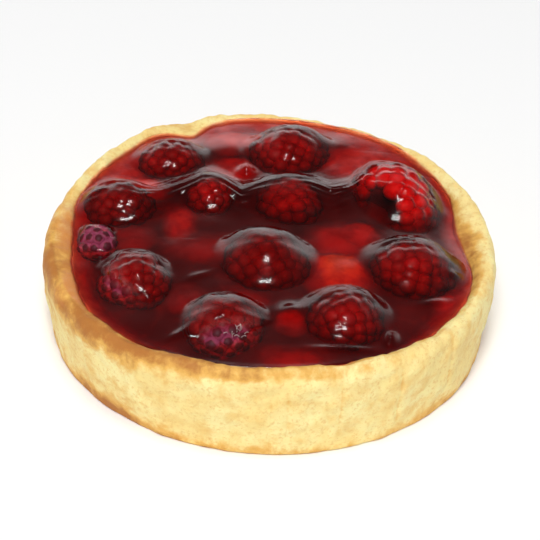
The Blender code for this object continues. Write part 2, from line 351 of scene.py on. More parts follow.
class Value:
    """A socket in a node tree. Arithmetic on it adds Math nodes."""

    def __init__(self, tree, socket):
        self.tree = tree
        self.socket = socket

    def math(self, operation, *others):
        values = {0: self, **dict(enumerate(others, 1))}
        return self.tree.node("ShaderNodeMath", {"operation": operation}, values)

    def __add__(self, other):
        return self.math("ADD", other)

    __radd__ = __add__

    def __mul__(self, other):
        return self.math("MULTIPLY", other)

    __rmul__ = __mul__

    def __sub__(self, other):
        return self.math("SUBTRACT", other)

    def __rsub__(self, other):
        return self * -1 + other

    def __truediv__(self, other):
        return self.math("DIVIDE", other)

    def __pow__(self, other):
        return self.math("POWER", other)


class Tree:
    """A node tree that is built from expressions."""

    def __init__(self, node_tree):
        self.nodes = node_tree.nodes
        self.links = node_tree.links

    def find(self, sockets, key):
        """A socket by its place, its identifier or its name."""
        if isinstance(key, int):
            return sockets[key]
        by_identifier = [socket for socket in sockets if socket.identifier == key]
        return by_identifier[0] if by_identifier else sockets[key]

    def node(self, kind, settings=None, values=None, output=0):
        """Add a node: its settings first, then the values or links of its sockets. Returns an output."""
        node = self.nodes.new(kind)
        for name, setting in (settings or {}).items():
            if name == "stops":
                self.set_stops(node.color_ramp, setting)
            else:
                setattr(node, name, setting)
        for key, value in (values or {}).items():
            self.join(self.find(node.inputs, key), value)
        return Value(self, self.find(node.outputs, output)) if node.outputs else node

    def join(self, socket, value):
        """Link a value to a socket, or set a plain number or colour on it."""
        if isinstance(value, Value):
            self.links.new(value.socket, socket)
        else:
            socket.default_value = value

    def set_stops(self, ramp, stops):
        """The stops of a colour ramp: place and grey level or colour."""
        while len(ramp.elements) < len(stops):
            ramp.elements.new(1.0)
        for element, (place, colour) in zip(ramp.elements, stops):
            element.position = place
            level = (colour,) * 3 if isinstance(colour, (int, float)) else colour
            element.color = (*level, 1.0)

    def blend(self, share, first, second):
        """Two colours mixed by a share."""
        first, second = [(*side, 1.0) if isinstance(side, tuple) else side for side in (first, second)]
        values = {"Factor_Float": share, "A_Color": first, "B_Color": second}
        return self.node("ShaderNodeMix", {"data_type": "RGBA"}, values, "Result_Color")

    def between(self, value, low, high):
        """0 where a value is under low, 1 over high, smooth between."""
        settings = {"interpolation_type": "SMOOTHSTEP"}
        values = {"Value": value, "From Min": low, "From Max": high}
        return self.node("ShaderNodeMapRange", settings, values)

    def cloud(self, size, detail=3.0, roughness=0.55, distortion=0.0, place=None):
        """Noise from 0 to 1, with lumps of a size in metres."""
        place = place or self.node("ShaderNodeTexCoord", output="Object")
        values = {"Vector": place, "Scale": 1 / size, "Detail": detail, "Roughness": roughness,
                  "Distortion": distortion}
        return self.node("ShaderNodeTexNoise", None, values, "Fac")

    def attribute(self, name, output="Fac"):
        """A number or a colour that the mesh carries."""
        return self.node("ShaderNodeAttribute", {"attribute_name": name}, None, output)

    def relief(self, height, distance, strength=1.0, under=None):
        """A bumped normal from a height from 0 to 1, that stands a distance proud."""
        values = {"Height": height, "Distance": distance, "Strength": strength}
        if under:
            values["Normal"] = under
        return self.node("ShaderNodeBump", None, values)


def new_material(name):
    """An empty material and its tree."""
    material = bpy.data.materials.new(name)
    material.use_nodes = True
    material.node_tree.nodes.clear()
    return material, Tree(material.node_tree)


def finish_material(tree, surface, volume=None):
    """Join a shader, and a volume where there is one, to the material's output."""
    values = {"Surface": surface}
    if volume:
        values["Volume"] = volume
    tree.node("ShaderNodeOutputMaterial", None, values)


# ================================ materials ======================================================

PALE_DOUGH = (0.93, 0.73, 0.29)
PALEST_DOUGH = (0.95, 0.82, 0.38)
BLOT_GOLD = (0.86, 0.57, 0.18)
FLECK_GOLD = (0.80, 0.50, 0.16)
BAKED_GOLD = (0.80, 0.45, 0.10)
BAKED_BROWN = (0.46, 0.17, 0.03)
PORE_SHADE = (0.33, 0.18, 0.05)
SOAKED_ORANGE = (0.66, 0.23, 0.05)
SOAKED_RED = (0.30, 0.06, 0.03)
JELLY_RED = (0.90, 0.21, 0.08)
JELLY_DENSITY = 1000.0
BERRY_DARK = (0.12, 0.001, 0.003)
BERRY_RED = (0.50, 0.001, 0.004)
# painted shade: the dark red that berries are painted under the jelly
BERRY_PAINTED_SHADE = (0.10, 0.004, 0.007)


def baked_pastry():
    """Shortcrust: pale gold, browner where it caught the heat, orange where jelly soaked in; its creases and
    pores are painted darker as shade.
    """
    material, tree = new_material("baked_pastry")
    toast = tree.attribute("toast")
    stain = tree.attribute("stain")
    patches = tree.cloud(12 * MM, 3, 0.6)
    blots = tree.cloud(4.5 * MM, 5, 0.62, 0.3)
    mottle = tree.cloud(2.2 * MM, 5, 0.65, 0.3)
    fleck = tree.cloud(0.9 * MM, 4, 0.7)
    grain = tree.cloud(0.5 * MM, 4, 0.7)
    uneven = (patches - 0.5) * 0.5 + (blots - 0.5) * 0.9 + (mottle - 0.5) * 0.4
    browning_and_crease_shade = tree.between(toast + uneven, 0.1, 1.0)
    colour = tree.blend(tree.between(patches, 0.38, 0.62), PALE_DOUGH, PALEST_DOUGH)
    colour = tree.blend(tree.between(blots, 0.40, 0.70) * 0.75, colour, BLOT_GOLD)
    colour = tree.blend(tree.between(fleck, 0.50, 0.68) * 0.65, colour, FLECK_GOLD)
    colour = tree.blend(tree.between(browning_and_crease_shade, 0.0, 0.50), colour, BAKED_GOLD)
    colour = tree.blend(tree.between(browning_and_crease_shade, 0.35, 1.0), colour, BAKED_BROWN)
    specks = tree.node("ShaderNodeTexVoronoi", {"feature": "F1"}, {"Scale": 1 / (2.2 * MM)}, "Distance")
    # painted shade: the pores are painted dark brown as well as dented
    pore_shade_mask = tree.between(specks, 0.16, 0.07) * tree.between(blots, 0.42, 0.52)
    colour = tree.blend(pore_shade_mask * 0.8, colour, PORE_SHADE)
    soaked = tree.between(stain + (mottle - 0.5) * 0.6, 0.2, 0.8)
    colour = tree.blend(soaked * 0.85, colour, SOAKED_ORANGE)
    colour = tree.blend(tree.attribute("wet") * 0.85, colour, SOAKED_RED)
    height = grain * 0.35 + mottle * 0.65 - pore_shade_mask * 0.5
    normal = tree.relief(height, 0.30 * MM, 0.9)
    roughness = tree.between(soaked, 1.0, 0.0) * 0.35 + 0.3
    shader = tree.node("ShaderNodeBsdfPrincipled", None, {
        "Base Color": colour, "Roughness": roughness, "Normal": normal,
        "Specular IOR Level": 0.35, "Subsurface Weight": 0.12, "Subsurface Scale": 0.0015,
        "Subsurface Radius": (1.0, 0.6, 0.3)})
    finish_material(tree, shader)
    return material


def clear_jelly():
    """Set jelly: wet and clear, and darker red the deeper it lies."""
    material, tree = new_material("clear_jelly")
    ripples = tree.cloud(3.5 * MM, 2, 0.5)
    normal = tree.relief(ripples, 0.10 * MM, 0.6)
    body = tree.node("ShaderNodeBsdfPrincipled", None, {
        "Base Color": (1.0, 0.86, 0.84, 1.0), "Roughness": 0.10, "IOR": 1.38, "Transmission Weight": 1.0,
        "Normal": normal})
    clear = tree.node("ShaderNodeBsdfTransparent", None, {"Color": (0.96, 0.86, 0.84, 1.0)})
    lamp_side = tree.node("ShaderNodeLightPath", None, None, "Is Shadow Ray")
    surface = tree.node("ShaderNodeMixShader", None, {0: lamp_side, 1: body, 2: clear})
    volume = tree.node("ShaderNodeVolumeAbsorption", None, {"Color": (*JELLY_RED, 1.0), "Density": JELLY_DENSITY})
    finish_material(tree, surface, volume)
    return material


def raspberry_skin():
    """Drupelets: dark crowns, and a paler net of down in the gaps, pink where no glaze lies on it. Painted shade
    darkens them under the jelly and inside the hull's hollow.
    """
    material, tree = new_material("raspberry_skin")
    crown = tree.attribute("crown")
    felt = tree.attribute("felt")
    hollow = tree.attribute("filled")
    variety = tree.cloud(5 * MM, 3)
    fine = tree.cloud(0.6 * MM, 3)
    ragged = crown + (fine - 0.5) * 0.2
    bright = tree.attribute("bright") + (variety - 0.5) * 1.0
    flesh = tree.blend(tree.between(bright, 0.0, 1.0), BERRY_DARK, BERRY_RED)
    crowns = tree.blend(felt, BERRY_DARK, (0.05, 0.003, 0.010))
    colour = tree.blend(tree.between(ragged, 0.70, 0.86) * (felt * 0.75 + 0.15), flesh, crowns)
    net = tree.blend(felt, (0.28, 0.004, 0.010), (0.24, 0.034, 0.08))
    gap = tree.between(ragged, 0.82, 0.68)
    colour = tree.blend(gap * (felt * 0.75 + 0.15), colour, net)
    # painted shade: a berry is painted darker where it lies under the jelly
    colour = tree.blend(tree.attribute("sunk") * 0.9, colour, BERRY_PAINTED_SHADE)
    # painted shade: the inside of the hull's hollow is painted near black
    colour = tree.blend(hollow, colour, (0.07, 0.005, 0.008))
    shader = tree.node("ShaderNodeBsdfPrincipled", None, {
        "Base Color": colour, "Roughness": 0.55,
        "Normal": tree.relief(fine, 0.08 * MM, 0.5), "Specular IOR Level": 0.2})
    finish_material(tree, shader)
    return material


def sunk_fruit():
    """What lies under the jelly: its colour is stored on the mesh."""
    material, tree = new_material("sunk_fruit")
    colour = tree.attribute("flesh", "Color")
    shade = tree.cloud(4 * MM, 3)
    colour = tree.blend(tree.between(shade, 0.35, 0.75) * 0.5, colour, (0.10, 0.004, 0.006))
    pulp = tree.cloud(7 * MM, 2, 0.5, 0.6)
    colour = tree.blend(tree.between(pulp, 0.50, 0.75) * 0.3, colour, (0.36, 0.03, 0.02))
    shader = tree.node("ShaderNodeBsdfPrincipled", None, {"Base Color": colour, "Roughness": 0.6})
    finish_material(tree, shader)
    return material


def plain_material(name, colour, roughness):
    """A plain matt finish, for the floor."""
    material, tree = new_material(name)
    values = {"Base Color": (*colour, 1.0), "Roughness": roughness}
    shader = tree.node("ShaderNodeBsdfPrincipled", None, values)
    finish_material(tree, shader)
    return material


# ================================ the case =======================================================

def make_case(material):
    """The shortcrust case, with the unevenness of hand-pressed pastry."""
    angle = np.linspace(0, TURN, CASE_STEPS, endpoint=False)
    outside = evenly(outside_profile(), CASE_SPACING)
    inside = evenly(inside_profile(), CASE_SPACING)[1:]
    inside = np.concatenate([inside[:26], inside[28::6], inside[-1:]])
    middle = case_centre()
    rows, radii, heights = [], [], []
    for profile, is_inside in ((outside, False), (inside, True)):
        for radius, height in profile:
            wide, high = case_point(angle, radius, height, is_inside)
            radii.append(wide)
            heights.append(high)
            rows.append(is_inside)
    radii, heights = np.array(radii), np.array(heights)
    points = np.stack([radii * np.cos(angle), radii * np.sin(angle), heights], axis=2).reshape(-1, 3)
    outward = np.tile(np.stack([np.cos(angle), np.sin(angle), 0 * angle], axis=1), (len(radii), 1))
    side = np.repeat(np.where(rows, -1.0, 1.0), CASE_STEPS)
    level = heights.ravel()
    rim = smooth_step(SHOULDER_HEIGHT, RIM_HEIGHT, level)
    outward = outward * (side * (1 - 0.6 * rim))[:, None]
    outward[:, 2] += rim
    around = np.tile(angle, len(radii))
    swell = 0.55 * lumps(points, 8 * MM, 1) + 0.30 * lumps(points, 3.2 * MM, 2) - 0.25
    swell = np.minimum(swell, 0.12) + 0.08 * lumps(points, 1.2 * MM, 3)
    swell += 0.22 * rim * lumps(points, 1.8 * MM, 4)
    for crease in CREASES:
        swell -= 0.22 * bump(around, crease, 0.7) * (side > 0) * (1 - rim) * smooth_step(0, 8 * MM, level)
    swell *= MM * (0.5 + 0.5 * smooth_step(0, 2.5 * MM, level))
    points = np.clip(points + outward * swell[:, None] - middle, *np.array(cad_box))
    ends = [(0, 0, 0), (0, 0, FLOOR_THICKNESS)]
    faces = ring_faces(len(radii), CASE_STEPS, True, True)
    piece = add_piece("pastry_case", np.concatenate([points, ends]), faces, material)
    inner = side < 0
    upper = smooth_step(13 * MM, 20 * MM, level)
    toast = 0.02 + 0.60 * bump(around, 225, 26) * upper
    toast += 0.35 * bump(around, 196, 10) * smooth_step(8 * MM, 14 * MM, level)
    toast += 0.30 * bump(around, 180, 22) * upper
    toast += 0.55 * bump(around, 265, 34) * smooth_step(19.5 * MM, 22 * MM, level)
    toast += 0.60 * bump(around, 5, 40) * inner * smooth_step(23 * MM, 19.5 * MM, level)
    toast += 0.25 * bump(around, 300, 25) * inner
    toast += 0.35 * bump(around, LUMP_ANGLE, 8) * upper
    toast += 0.40 * smooth_step(5 * MM, 0.5 * MM, level) * ~inner
    toast += 0.25 * bump(around, 230, 22) * smooth_step(16 * MM, 2 * MM, level) * ~inner
    toast += 0.15 * (1 - bump(around, 275, 45)) * ~inner
    # painted shade: the creases in the outer wall are painted browner as well as dented
    for crease in CREASES:
        toast += 0.30 * bump(around, crease, 0.7) * ~inner * (1 - rim) * smooth_step(0, 8 * MM, level)
    wet = inner * smooth_step(0.6 * MM, -0.2 * MM, level - wetted_level(around, 1.0))
    edge = smooth_step(RIM_HEIGHT + 0.4 * MM, RIM_HEIGHT - 1.6 * MM, level) * inner * (1 - wet)
    stain = edge * (0.16 + 0.50 * bump(around, 195, 45) + 0.35 * bump(around, 84, 9))
    stain += 0.45 * bump(around, 176, 12) * smooth_step(18 * MM, 21 * MM, level)
    stain += 0.45 * bump(around, 208, 5) * smooth_step(17 * MM, 20 * MM, level)
    stain += 0.40 * bump(around, -70, 13) * smooth_step(20.6 * MM, 21.8 * MM, level) * inner
    stain += 0.45 * bump(around, -38, 3) * smooth_step(20 * MM, 21.5 * MM, level)
    stain *= 1 - 0.9 * bump(around, 4, 24)
    give_numbers(piece, "wet", np.concatenate([wet, [0.0, 1.0]]))
    give_numbers(piece, "toast", np.concatenate([toast, [0.2, 0.2]]))
    give_numbers(piece, "stain", np.concatenate([stain, [0.0, 1.0]]))
    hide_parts("crust")
    return piece


# ================================ the berries ====================================================

def berry_frame(node, turn, dip):
    """A berry's middle, its turning and its half sizes along its own axes, read from its solid."""
    turning = np.array(Euler((0.0, math.radians(dip), math.radians(turn))).to_matrix())
    local = np.array([vertex.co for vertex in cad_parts[node].data.vertices]) @ turning
    low, high = local.min(axis=0), local.max(axis=0)
    return turning @ ((low + high) / 2), turning, (high - low) / 2


def drupelet_centres(node, turn, dip, size, coat):
    """Centres of a berry's drupelets, on a spiral from its tip to its hull."""
    centre, turning, half = berry_frame(node, turn, dip)
    body = half - (DRUPELET_FILL * size + max(coat, 0)) * MM
    power = 1.6             # Thomsen's rule for the area of an ellipsoid
    mean = ((body[0] * body[1]) ** power + (body[0] * body[2]) ** power + (body[1] * body[2]) ** power) / 3
    area = 4 * math.pi * mean ** (1 / power)
    count = int(area / (size * MM) ** 2)
    step = np.arange(count)
    along = 1 - 2 * (step + 0.5) / count
    around = step * math.pi * (3 - math.sqrt(5))
    wide = np.sqrt(1 - along * along) * (1 - BERRY_TAPER * along)
    local = np.stack([body[0] * along, body[1] * wide * np.cos(around), body[2] * wide * np.sin(around)], 1)
    local += np.random.default_rng(count).normal(0, 0.08 * size * MM, local.shape)
    return local @ turning.T + centre


def raspberry_tree():
    """Geometry nodes that set a drupelet on every point of a berry's core and join them to it."""
    group = bpy.data.node_groups.new("raspberry", "GeometryNodeTree")
    for name, kind, side in (("Core", "Geometry", "INPUT"), ("Drupelet Size", "Float", "INPUT"),
                             ("Size Spread", "Float", "INPUT"), ("Seed", "Int", "INPUT"),
                             ("Skin", "Material", "INPUT"), ("Berry", "Geometry", "OUTPUT")):
        group.interface.new_socket(name, in_out=side, socket_type=f"NodeSocket{kind}")
    tree = Tree(group)
    inputs = tree.nodes.new("NodeGroupInput")
    core, size, spread, seed, skin = [Value(tree, socket) for socket in inputs.outputs[:5]]
    ball = tree.node("GeometryNodeMeshIcoSphere", None, {"Radius": 1.0, "Subdivisions": 2}, "Mesh")
    height = tree.node("ShaderNodeSeparateXYZ", None, {0: tree.node("GeometryNodeInputPosition")}, "Z")
    ball = tree.node("GeometryNodeStoreNamedAttribute", {"data_type": "FLOAT", "domain": "POINT"},
                     {"Geometry": ball, "Name": "crown", "Value": height})
    ball = tree.node("GeometryNodeSetShadeSmooth", None, {0: ball})
    normal = tree.node("GeometryNodeInputNormal")
    facing = tree.node("FunctionNodeAlignRotationToVector", {"axis": "Z"}, {"Vector": normal})
    random = tree.node("FunctionNodeRandomValue", {"data_type": "FLOAT"},
                       {"Min_001": 1 - spread, "Max_001": 1 + spread, "Seed": seed}, "Value_001")
    filled = tree.node("GeometryNodeInputNamedAttribute", {"data_type": "FLOAT"},
                       {"Name": "filled"}, "Attribute")
    bare = tree.node("FunctionNodeCompare", {"operation": "LESS_THAN"}, {"A": filled, "B": 0.5}, "Result")
    placed = tree.node("GeometryNodeInstanceOnPoints", None,
                       {"Points": core, "Selection": bare, "Instance": ball, "Rotation": facing,
                        "Scale": size * random})
    solid = tree.node("GeometryNodeRealizeInstances", None, {0: placed})
    joined = tree.node("GeometryNodeJoinGeometry", None, {0: solid})
    tree.links.new(core.socket, joined.socket.node.inputs[0])
    painted = tree.node("GeometryNodeSetMaterial", None, {"Geometry": joined, "Material": skin})
    tree.node("NodeGroupOutput", None, {0: painted})
    return group


def set_input(modifier, name, value):
    """Set a modifier's input by its socket's identifier."""
    for item in modifier.node_group.interface.items_tree:
        if item.item_type == "SOCKET" and item.in_out == "INPUT" and item.name == name:
            modifier[item.identifier] = value


def apply_tree(piece, group, inputs):
    """Run geometry nodes on a piece and keep the result as a plain mesh."""
    modifier = piece.modifiers.new("shape", "NODES")
    modifier.node_group = group
    for name, value in inputs.items():
        set_input(modifier, name, value)
    evaluated = piece.evaluated_get(bpy.context.evaluated_depsgraph_get())
    mesh = bpy.data.meshes.new_from_object(evaluated)
    piece.modifiers.remove(modifier)
    piece.data = mesh
    return piece


def hull_faces(points):
    """The faces of the convex hull of a berry's core."""
    core = bmesh.new()
    for point in points:
        core.verts.new(point)
    core.verts.index_update()
    bmesh.ops.convex_hull(core, input=core.verts)
    bmesh.ops.recalc_face_normals(core, faces=core.faces)
    core.verts.index_update()
    faces = [tuple(vert.index for vert in face.verts) for face in core.faces]
    core.free()
    return faces


def hollow_amount(node, turn, dip, points):
    """How far points of a berry lie inside its hull's opening, from 0 at its edge to 1."""
    if node not in HOLLOWS:
        return np.zeros(len(points))
    way, opening, _ = HOLLOWS[node]
    centre, _, _ = berry_frame(node, turn, dip)
    facing = (points - centre) / np.linalg.norm(points - centre, axis=1)[:, None]
    angle = np.degrees(np.arccos(np.clip(facing @ np.array(Vector(way).normalized()), -1, 1)))
    return np.clip(1 - angle / opening, 0, 1)


def make_raspberry(node, turn, dip, size, coat, bright, group, skin):
    """A raspberry of real drupelets in place of its solid."""
    centres = drupelet_centres(node, turn, dip, size, coat)
    faces = hull_faces(centres)
    inside = hollow_amount(node, turn, dip, centres)
    if node in HOLLOWS:
        middle, _, _ = berry_frame(node, turn, dip)
        sink = HOLLOWS[node][2] * np.sqrt(inside)
        centres = centres + (middle - centres) * sink[:, None]
    piece = add_piece(f"{node}_drupelets", centres, faces, skin)
    # this marks the hull's hollow: no drupelets sit there, and its skin is painted dark as shade
    give_numbers(piece, "filled", inside > 0)
    apply_tree(piece, group, {"Drupelet Size": DRUPELET_FILL * size * MM, "Size Spread": 0.1,
                              "Seed": len(node), "Skin": skin})
    places = np.array([vertex.co for vertex in piece.data.vertices])
    felt = bare_amount(node, places[:, 0], places[:, 1]) if coat > 0 else np.ones(len(places))
    give_numbers(piece, "felt", felt)
    give_numbers(piece, "bright", np.full(len(places), bright))
    # painted shade: how far a berry is painted dark under the jelly, less where it is bare
    sunk = smooth_step(JELLY_LEVEL + SHADE_START, JELLY_LEVEL - SHADE_END, places[:, 2])
    give_numbers(piece, "sunk", sunk * (1 - 0.85 * felt))
    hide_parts(node)
    return piece


def hair_tree():
    """Geometry nodes that set a thin, bent hair on every point of a mesh."""
    group = bpy.data.node_groups.new("hairs", "GeometryNodeTree")
    for name, kind, side in (("Roots", "Geometry", "INPUT"), ("Length", "Float", "INPUT"),
                             ("Thickness", "Float", "INPUT"), ("Seed", "Int", "INPUT"),
                             ("Skin", "Material", "INPUT"), ("Hairs", "Geometry", "OUTPUT")):
        group.interface.new_socket(name, in_out=side, socket_type=f"NodeSocket{kind}")
    tree = Tree(group)
    inputs = tree.nodes.new("NodeGroupInput")
    roots, length, thickness, seed, skin = [Value(tree, socket) for socket in inputs.outputs[:5]]
    middle = tree.node("ShaderNodeCombineXYZ", None, {"X": length * 0.1, "Z": length * 0.6})
    end = tree.node("ShaderNodeCombineXYZ", None, {"X": length * 0.7, "Y": length * 0.2, "Z": length * 0.7})
    bend = tree.node("GeometryNodeCurveQuadraticBezier", None,
                     {"Resolution": 6, "Start": (0, 0, 0), "Middle": middle, "End": end})
    ring = tree.node("GeometryNodeCurvePrimitiveCircle", None, {"Resolution": 4, "Radius": thickness})
    hair = tree.node("GeometryNodeCurveToMesh", None,
                     {"Curve": bend, "Profile Curve": ring, "Fill Caps": True})
    turn = tree.node("FunctionNodeRandomValue", {"data_type": "FLOAT_VECTOR"},
                     {"Min": (-0.9, -0.9, 0.0), "Max": (0.9, 0.9, TURN), "Seed": seed})
    size = tree.node("FunctionNodeRandomValue", {"data_type": "FLOAT"},
                     {"Min_001": 0.5, "Max_001": 1.0, "Seed": seed}, "Value_001")
    placed = tree.node("GeometryNodeInstanceOnPoints", None,
                       {"Points": roots, "Instance": hair, "Rotation": turn, "Scale": size})
    solid = tree.node("GeometryNodeRealizeInstances", None, {0: placed})
    painted = tree.node("GeometryNodeSetMaterial", None, {"Geometry": solid, "Material": skin})
    tree.node("NodeGroupOutput", None, {0: painted})
    return group


def make_hairs(material):
    """The withered hairs on the bare side of the front berry."""
    node, turn, dip, size, coat, *_ = next(row for row in BERRIES if row[0] == HAIRY_BERRY)
    random = np.random.default_rng(7)
    x, y = HAIR_PLACE[:, None] * MM + random.normal(0, HAIR_SPREAD * MM, (2, HAIR_COUNT))
    centres = drupelet_centres(node, turn, dip, size, coat)
    z = drupelet_tops(x, y, centres, DRUPELET_FILL * size * MM)
    piece = add_piece("berry_hairs", np.stack([x, y, z], axis=1)[z > JELLY_LEVEL], [], material)
    apply_tree(piece, hair_tree(), {"Length": HAIR_LENGTH, "Thickness": HAIR_THICKNESS, "Seed": 3,
                                    "Skin": material})
    return piece


# ================================ the jelly ======================================================

def berry_dome(node, turn, dip, x, y):
    """Height of a berry's smooth outline over a place; beside the berry it runs on steeply down."""
    centre, turning, half = berry_frame(node, turn, dip)
    dx, dy = x - centre[0], y - centre[1]
    along = np.clip((dx * turning[0, 0] + dy * turning[1, 0]) / half[0], -1, 1)
    slim = 1 - BERRY_TAPER * along
    stretch = np.stack([half[0] + 0 * x, half[1] * slim, half[2] * slim]) ** -2
    form = np.einsum("ik,kn,jk->ijn", turning, stretch, turning)
    across = form[0, 2] * dx + form[1, 2] * dy
    rest = form[0, 0] * dx * dx + 2 * form[0, 1] * dx * dy + form[1, 1] * dy * dy - 1
    root = across * across - form[2, 2] * rest
    return centre[2] + (np.sign(root) * np.sqrt(np.abs(root)) - across) / form[2, 2]


def berry_bell(node, turn, dip, x, y, reach):
    """The hump over a berry seen from above: 1 over its middle, 0 at its outline times a reach.

    It runs out softly in front and at the sides, and falls away steeply behind.
    """
    centre, turning, half = berry_frame(node, turn, dip)
    ahead = Vector((turning[0, 0], turning[1, 0])).normalized()
    dx, dy = x - centre[0], y - centre[1]
    along = (dx * ahead.x + dy * ahead.y) / half[0]
    aside = (dy * ahead.x - dx * ahead.y) / half[1]
    steep = smooth_step(0.15, 0.85, dy / (np.hypot(dx, dy) + 0.1 * MM))
    reach = reach + (HUMP_BACK_REACH - reach) * steep
    power = HUMP_SOFT_POWER + (HUMP_STEEP_POWER - HUMP_SOFT_POWER) * steep
    return np.clip(1 - (along ** 2 + aside ** 2) / reach ** 2, 0, None) ** power


def drupelet_tops(x, y, centres, radius):
    """Height of a glaze that follows a berry's drupelets; far below everything beside the berry."""
    reach = np.hypot(x[:, None] - centres[None, :, 0], y[:, None] - centres[None, :, 1])
    inside = np.clip(radius * radius - reach * reach, 0, None)
    tops = np.where(reach < radius, centres[None, :, 2] + np.sqrt(inside), -1.0)
    best = tops.max(axis=1)
    total = np.exp((tops - best[:, None]) / RELIEF_SOFTNESS).sum(axis=1)
    return np.where(best > 0, best + RELIEF_SOFTNESS * np.log(total), -1.0)


def bare_amount(node, x, y):
    """How far the glaze has drawn back from a berry's bare side, from 0 to 1."""
    if node not in BARE_SIDES:
        return np.zeros_like(x)
    direction, start = BARE_SIDES[node]
    low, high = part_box(node)
    centre, half = (low + high) / 2, (high - low) / 2
    along = ((x - centre.x) * math.cos(math.radians(direction)) / half.x
             + (y - centre.y) * math.sin(math.radians(direction)) / half.y)
    return smooth_step(start - 0.15, start + 0.15, along)


def crest_and_swells(x, y):
    """The long crest across the jelly and its low swells, in metres."""
    x, y = x / MM, y / MM
    line_x, line_y = np.array(CREST).T
    across = y - np.interp(x, line_x, line_y)
    rise = CREST_HEIGHT * np.exp(-(across / np.where(across < 0, *CREST_WIDTHS)) ** 2)
    rise *= smooth_step(line_x[-1], line_x[-1] - 6, x)
    streaks = lumps(np.stack([x / CREST_STREAK[0], across / CREST_STREAK[1], 0 * x], axis=1), 1.0, 11)
    rise *= 1 + CREST_STREAKS * streaks
    for place_x, place_y, half_x, half_y, turn, height in SWELLS:
        dx, dy = x - place_x, y - place_y
        along = dx * math.cos(math.radians(turn)) + dy * math.sin(math.radians(turn))
        aside = dy * math.cos(math.radians(turn)) - dx * math.sin(math.radians(turn))
        rise += height * np.exp(-(along / half_x) ** 2 - (aside / half_y) ** 2)
    return rise * MM


def jelly_heights(x, y, angle, share):
    """The top of the jelly: its level, the rise where it wets the case, and its coats on the berries."""
    level = wetted_level(angle, share)
    climb = 0.15 + BACK_CLIMB * bump(angle, 90, 50)
    level += climb * MM * smooth_step(0.95, 1.0, share) ** 2
    points = np.stack([x, y, 0 * x], axis=1)
    level += 0.25 * MM * lumps(points, 11 * MM, 5) + 0.12 * MM * lumps(points, 4.5 * MM, 6)
    level += crest_and_swells(x, y) * smooth_step(1.0, 0.9, share)
    humps = np.zeros_like(level)
    for node, turn, dip, size, coat, front, back, reach, _ in BERRIES:
        low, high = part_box(node)
        margin = 5 * MM
        near = (x > low.x - margin) & (x < high.x + margin) & (y > low.y - margin) & (y < high.y + margin)
        near_x, near_y = x[near], y[near]
        hump = (high.z + coat * MM - level[near]) * berry_bell(node, turn, dip, near_x, near_y, reach)
        hump = higher(hump - BARE_DROP * MM * bare_amount(node, near_x, near_y), 0 * hump, 0.1 * MM)
        behind = (near_y - (low.y + high.y) / 2) / (high.y - low.y) * 2
        relief = front + (back - front) * smooth_step(-0.3, 0.9, behind)
        centres = drupelet_centres(node, turn, dip, size, coat)
        upper = centres[centres[:, 2] > low.z + 0.35 * (high.z - low.z)]
        tops = drupelet_tops(near_x, near_y, upper, (DRUPELET_FILL * size + max(coat, 0)) * MM)
        dome = berry_dome(node, turn, dip, near_x, near_y)
        dents = np.clip(tops - dome, -RELIEF_DEEPEST, RELIEF_HIGHEST) * (tops > 0)
        dents *= smooth_step(-1.0 * MM, 1.5 * MM, dome - level[near])
        dents *= hollow_amount(node, turn, dip, np.stack([near_x, near_y, dome], axis=1)) == 0
        humps[near] = (humps[near] ** HUMP_POWER + np.clip(hump, 0, None) ** HUMP_POWER) ** (1 / HUMP_POWER)
        humps[near] += relief * dents
        humps = np.clip(humps, 0, None)
    return np.minimum(level + humps, cad_box[1][2])


def make_jelly(material):
    """The clear jelly, from its wet top down to just inside the fruit under it."""
    angle = np.linspace(0, TURN, JELLY_STEPS, endpoint=False)
    middle = case_centre()
    top = wetted_level(angle, 1.0)
    local = top / height_scale(angle)
    radius, _ = case_point(angle, inner_radius(local), local, True)
    radius = radius + 0.6 * MM
    edge = np.stack([radius * np.cos(angle) - middle[0], radius * np.sin(angle) - middle[1]], axis=1)
    shares = np.linspace(1, 0.012, JELLY_RINGS)
    x = (shares[:, None] * edge[None, :, 0]).ravel()
    y = (shares[:, None] * edge[None, :, 1]).ravel()
    around = np.tile(angle, JELLY_RINGS)
    share = np.repeat(shares, JELLY_STEPS)
    z = jelly_heights(x, y, around, share)
    bottom = JELLY_LEVEL - 11 * MM
    low_ring = np.stack([edge[:, 0], edge[:, 1], np.full(JELLY_STEPS, bottom)], axis=1)
    points = np.concatenate([low_ring, np.stack([x, y, z], axis=1), [(0, 0, bottom), (0, 0, z[-1])]])
    faces = ring_faces(JELLY_RINGS + 1, JELLY_STEPS, True, True)
    piece = add_piece("clear_jelly", points, faces, material)
    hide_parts("jelly")
    return piece


